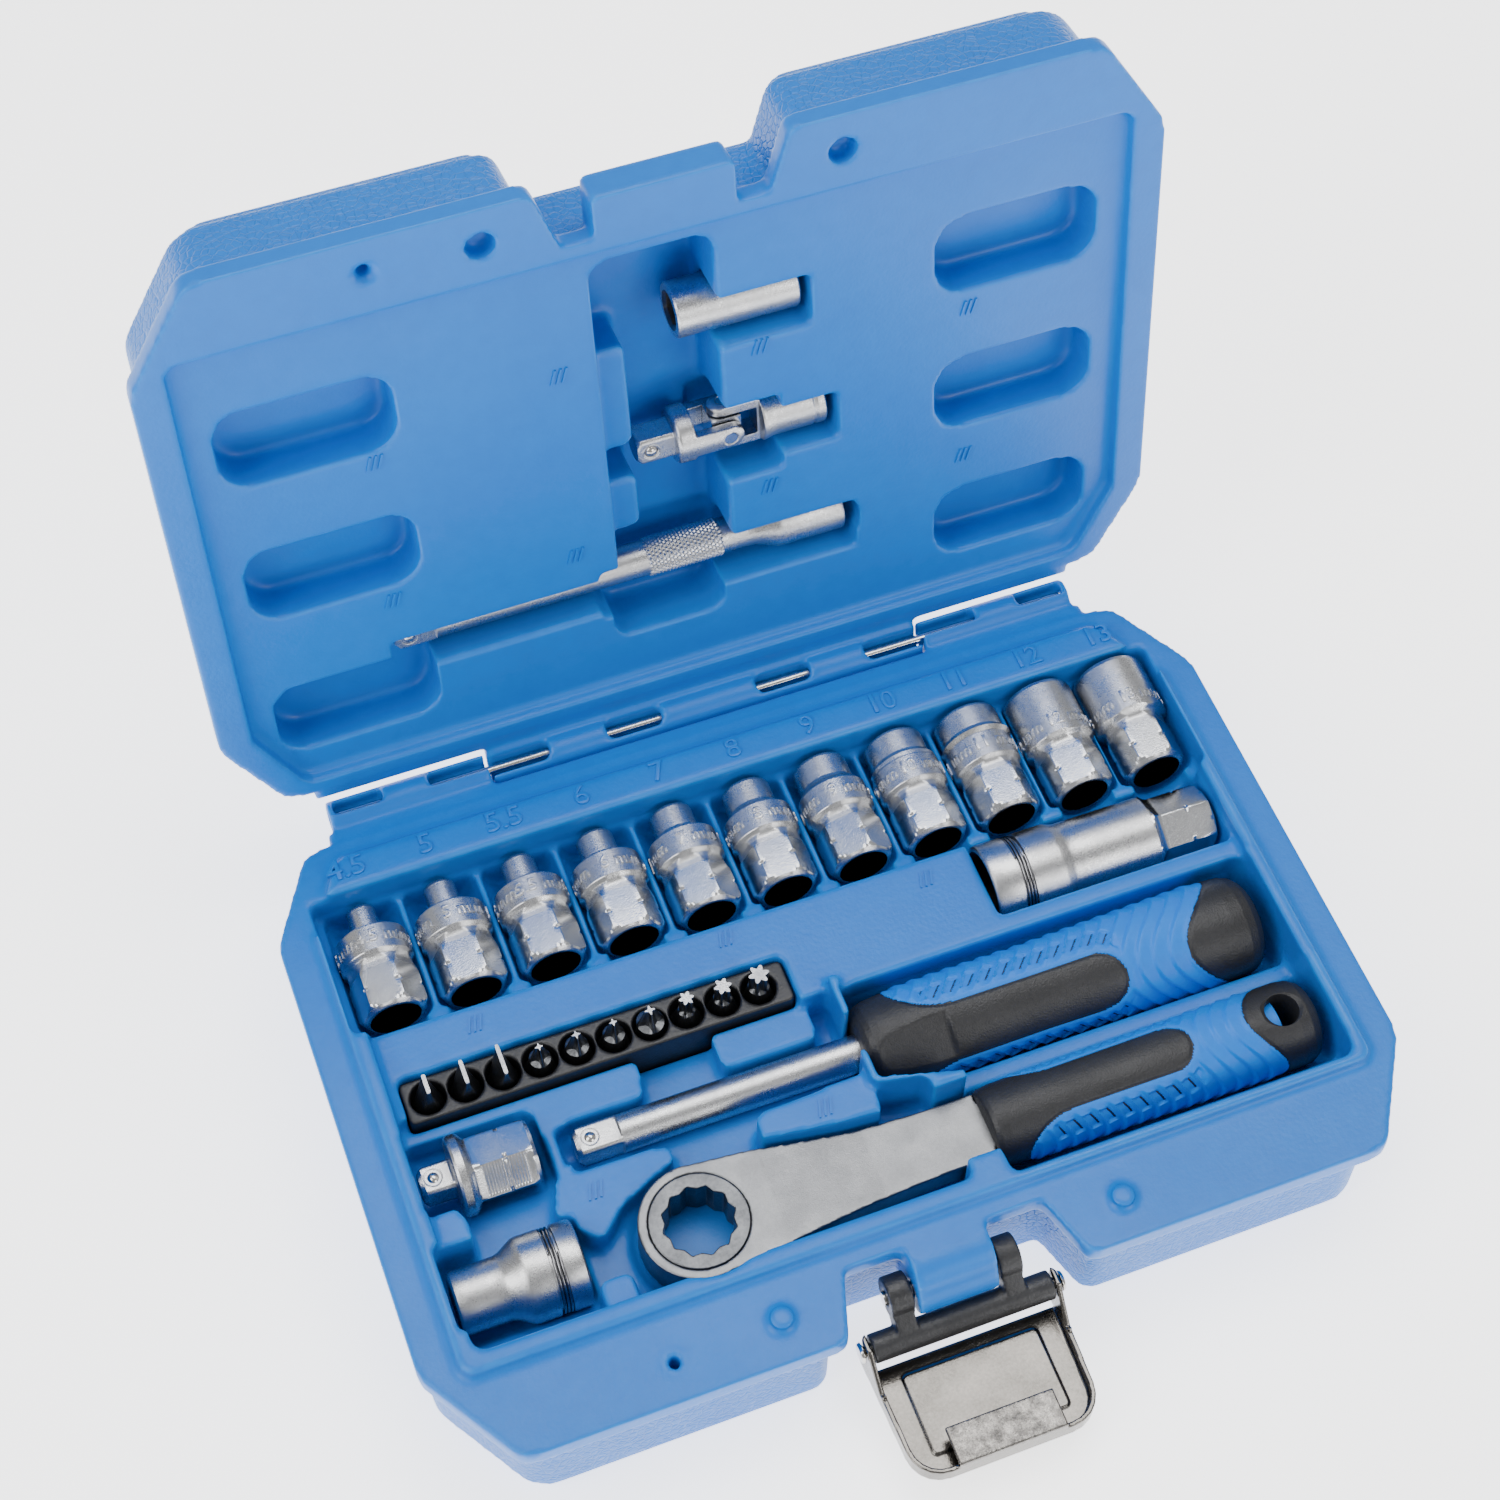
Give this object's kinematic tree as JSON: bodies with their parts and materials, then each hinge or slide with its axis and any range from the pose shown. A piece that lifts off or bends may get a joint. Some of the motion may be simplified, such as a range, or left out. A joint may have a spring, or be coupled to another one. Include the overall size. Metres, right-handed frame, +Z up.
{
  "type": "socket wrench set in case",
  "caption": "Hinged blue blow-moulded case with a ratchet ring wrench, spinner handle, row of pass-through sockets, adapters and bits.",
  "frame": {"origin": "centre of the base's flat underside", "axes": "+X along the hinge, towards the largest socket; -Y towards the latch; +Z up, out of the open base"},
  "size_m": [0.21, 0.2204, 0.1745],
  "materials": {
    "blue_shell": "satin moulded",
    "black_plastic": "matt",
    "satin_chrome": "satin chrome plated",
    "bright_steel": "polished",
    "black_steel": "dark phosphated",
    "blue_rubber": "soft satin"
  },
  "bodies": {
    "base": {"base_shell": "blue_shell", "hinge_rod": "bright_steel", "latch_pin": "bright_steel"},
    "lid": {"lid_shell": "blue_shell"},
    "link": {"latch_link": "black_plastic", "latch_rivets": "bright_steel"},
    "plate": {"latch_plate": "bright_steel"},
    "socket_4p5_tool": {"socket_4p5": "satin_chrome"},
    "socket_5_tool": {"socket_5": "satin_chrome"},
    "socket_5p5_tool": {"socket_5p5": "satin_chrome"},
    "socket_6_tool": {"socket_6": "satin_chrome"},
    "socket_7_tool": {"socket_7": "satin_chrome"},
    "socket_8_tool": {"socket_8": "satin_chrome"},
    "socket_9_tool": {"socket_9": "satin_chrome"},
    "socket_10_tool": {"socket_10": "satin_chrome"},
    "socket_11_tool": {"socket_11": "satin_chrome"},
    "socket_12_tool": {"socket_12": "satin_chrome"},
    "socket_13_tool": {"socket_13": "satin_chrome"},
    "strip": {"bit_strip": "black_plastic"},
    "bit_slot_1_tool": {"bit_slot_1": "black_steel"},
    "bit_slot_2_tool": {"bit_slot_2": "black_steel"},
    "bit_slot_3_tool": {"bit_slot_3": "black_steel"},
    "bit_cross_1_tool": {"bit_cross_1": "black_steel"},
    "bit_cross_2_tool": {"bit_cross_2": "black_steel"},
    "bit_cross_3_tool": {"bit_cross_3": "black_steel"},
    "bit_cross_4_tool": {"bit_cross_4": "black_steel"},
    "bit_star_1_tool": {"bit_star_1": "black_steel"},
    "bit_star_2_tool": {"bit_star_2": "black_steel"},
    "bit_star_3_tool": {"bit_star_3": "black_steel"},
    "square_adapter_tool": {"square_adapter": "satin_chrome", "square_adapter_ball": "bright_steel"},
    "round_adapter_tool": {"round_adapter": "satin_chrome", "round_adapter_ring": "black_steel"},
    "long_adapter_tool": {"long_adapter": "satin_chrome", "long_adapter_ring": "black_steel"},
    "spinner": {"spinner_shaft": "satin_chrome", "spinner_ball": "bright_steel", "spinner_core": "black_plastic", "spinner_grip": "blue_rubber"},
    "wrench": {"wrench_body": "satin_chrome", "wrench_core": "black_plastic", "wrench_grip": "blue_rubber", "pawl_spring": "bright_steel"},
    "ring": {"ratchet_ring": "black_steel"},
    "pawl": {"ratchet_pawl": "bright_steel"},
    "holder": {"bit_holder": "satin_chrome", "bit_holder_magnet": "black_plastic"},
    "joint_socket_end": {"joint_socket_yoke": "satin_chrome"},
    "joint_middle": {"joint_cross": "satin_chrome", "joint_pins": "bright_steel"},
    "joint_drive_end": {"joint_drive_yoke": "satin_chrome", "joint_ball": "bright_steel"},
    "extension": {"extension_bar": "satin_chrome", "extension_ball": "bright_steel"}
  },
  "joints": [
    {"name": "lid_hinge", "type": "hinge", "parent": "base", "child": "lid", "pos_m": [0, 0.078, 0.0281], "axis": [-1, 0, 0], "range_deg": [-98.8, 0]},
    {"name": "latch_link_hinge", "type": "hinge", "parent": "base", "child": "link", "pos_m": [0, -0.0615, 0.021], "axis": [1, 0, 0], "range_deg": [-62, 47]},
    {"name": "latch_plate_hinge", "type": "hinge", "parent": "link", "child": "plate", "pos_m": [0, -0.06819, 0.01498], "axis": [-1, 0, 0], "range_deg": [-20, 110]},
    {"name": "socket_4p5_lift", "type": "slide", "parent": "base", "child": "socket_4p5_tool", "axis": [0, 0, 1], "range_m": [0, 0.03]},
    {"name": "socket_5_lift", "type": "slide", "parent": "base", "child": "socket_5_tool", "axis": [0, 0, 1], "range_m": [0, 0.03]},
    {"name": "socket_5p5_lift", "type": "slide", "parent": "base", "child": "socket_5p5_tool", "axis": [0, 0, 1], "range_m": [0, 0.03]},
    {"name": "socket_6_lift", "type": "slide", "parent": "base", "child": "socket_6_tool", "axis": [0, 0, 1], "range_m": [0, 0.03]},
    {"name": "socket_7_lift", "type": "slide", "parent": "base", "child": "socket_7_tool", "axis": [0, 0, 1], "range_m": [0, 0.03]},
    {"name": "socket_8_lift", "type": "slide", "parent": "base", "child": "socket_8_tool", "axis": [0, 0, 1], "range_m": [0, 0.03]},
    {"name": "socket_9_lift", "type": "slide", "parent": "base", "child": "socket_9_tool", "axis": [0, 0, 1], "range_m": [0, 0.03]},
    {"name": "socket_10_lift", "type": "slide", "parent": "base", "child": "socket_10_tool", "axis": [0, 0, 1], "range_m": [0, 0.03]},
    {"name": "socket_11_lift", "type": "slide", "parent": "base", "child": "socket_11_tool", "axis": [0, 0, 1], "range_m": [0, 0.03]},
    {"name": "socket_12_lift", "type": "slide", "parent": "base", "child": "socket_12_tool", "axis": [0, 0, 1], "range_m": [0, 0.03]},
    {"name": "socket_13_lift", "type": "slide", "parent": "base", "child": "socket_13_tool", "axis": [0, 0, 1], "range_m": [0, 0.03]},
    {"name": "bit_strip_lift", "type": "slide", "parent": "base", "child": "strip", "axis": [0, 0, 1], "range_m": [0, 0.04]},
    {"name": "bit_slot_1_pull", "type": "slide", "parent": "strip", "child": "bit_slot_1_tool", "axis": [0, 0, 1], "range_m": [0, 0.03]},
    {"name": "bit_slot_2_pull", "type": "slide", "parent": "strip", "child": "bit_slot_2_tool", "axis": [0, 0, 1], "range_m": [0, 0.03]},
    {"name": "bit_slot_3_pull", "type": "slide", "parent": "strip", "child": "bit_slot_3_tool", "axis": [0, 0, 1], "range_m": [0, 0.03]},
    {"name": "bit_cross_1_pull", "type": "slide", "parent": "strip", "child": "bit_cross_1_tool", "axis": [0, 0, 1], "range_m": [0, 0.03]},
    {"name": "bit_cross_2_pull", "type": "slide", "parent": "strip", "child": "bit_cross_2_tool", "axis": [0, 0, 1], "range_m": [0, 0.03]},
    {"name": "bit_cross_3_pull", "type": "slide", "parent": "strip", "child": "bit_cross_3_tool", "axis": [0, 0, 1], "range_m": [0, 0.03]},
    {"name": "bit_cross_4_pull", "type": "slide", "parent": "strip", "child": "bit_cross_4_tool", "axis": [0, 0, 1], "range_m": [0, 0.03]},
    {"name": "bit_star_1_pull", "type": "slide", "parent": "strip", "child": "bit_star_1_tool", "axis": [0, 0, 1], "range_m": [0, 0.03]},
    {"name": "bit_star_2_pull", "type": "slide", "parent": "strip", "child": "bit_star_2_tool", "axis": [0, 0, 1], "range_m": [0, 0.03]},
    {"name": "bit_star_3_pull", "type": "slide", "parent": "strip", "child": "bit_star_3_tool", "axis": [0, 0, 1], "range_m": [0, 0.03]},
    {"name": "square_adapter_lift", "type": "slide", "parent": "base", "child": "square_adapter_tool", "axis": [0, 0, 1], "range_m": [0, 0.05]},
    {"name": "round_adapter_lift", "type": "slide", "parent": "base", "child": "round_adapter_tool", "axis": [0, 0, 1], "range_m": [0, 0.05]},
    {"name": "long_adapter_lift", "type": "slide", "parent": "base", "child": "long_adapter_tool", "axis": [0, 0, 1], "range_m": [0, 0.05]},
    {"name": "spinner_lift", "type": "slide", "parent": "base", "child": "spinner", "axis": [0, 0, 1], "range_m": [0, 0.06]},
    {"name": "wrench_lift", "type": "slide", "parent": "base", "child": "wrench", "axis": [0, 0, 1], "range_m": [0, 0.06]},
    {"name": "ring_turn", "type": "hinge", "parent": "wrench", "child": "ring", "pos_m": [-0.0435, -0.0356, 0.022], "axis": [0, 0, 1], "continuous": true},
    {"name": "pawl_spring_in", "type": "slide", "parent": "wrench", "child": "pawl", "axis": [-1, 0, 0], "range_m": [0, 0.0004], "stiffness_N_per_m": 200},
    {"name": "bit_holder_pull", "type": "slide", "parent": "lid", "child": "holder", "axis": [0, -0.9877, 0.1564], "range_m": [0, 0.025]},
    {"name": "joint_pull", "type": "slide", "parent": "lid", "child": "joint_socket_end", "axis": [0, -0.9877, 0.1564], "range_m": [0, 0.025]},
    {"name": "joint_fold", "type": "hinge", "parent": "joint_socket_end", "child": "joint_middle", "pos_m": [0.0117, 0.10164, 0.09492], "axis": [0, 0.1564, 0.9877], "range_deg": [0, 45]},
    {"name": "joint_swing", "type": "hinge", "parent": "joint_middle", "child": "joint_drive_end", "pos_m": [0.0117, 0.10164, 0.09492], "axis": [0, 0.9877, -0.1564], "range_deg": [-40, 40]},
    {"name": "extension_pull", "type": "slide", "parent": "lid", "child": "extension", "axis": [0, -0.9877, 0.1564], "range_m": [0, 0.025]}
  ]
}
